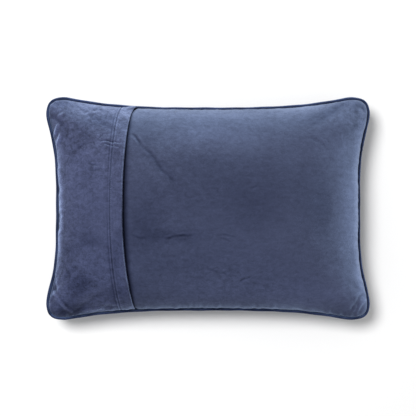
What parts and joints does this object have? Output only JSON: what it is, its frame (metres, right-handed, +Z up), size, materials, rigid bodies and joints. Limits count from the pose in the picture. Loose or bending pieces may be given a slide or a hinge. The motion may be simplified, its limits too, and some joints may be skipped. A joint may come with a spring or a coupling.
{
  "type": "needlepoint pillow",
  "caption": "Filled oblong pillow with a stitched front, a velvet envelope back with an overlapping hemmed flap, and piping round the seam.",
  "frame": {"origin": "middle of the pillow in plan, on the surface on which its needlepoint front rests", "axes": "+X along the pillow's length, away from the flap; +Y across it; +Z up through the velvet back"},
  "size_m": [0.4954, 0.3408, 0.124],
  "materials": {
    "velvet_back": "navy cotton velvet with a soft light-blue bloom where the pile leans away",
    "velvet_piping": "navy velvet cut on the bias over a cord",
    "needlepoint_wool": "wool tent stitch on canvas, one colour, matt"
  },
  "bodies": {
    "root": {"cushion_body": "velvet_back", "back_flap": "velvet_back", "piping": "velvet_piping", "needlepoint_front": "needlepoint_wool"}
  },
  "joints": []
}
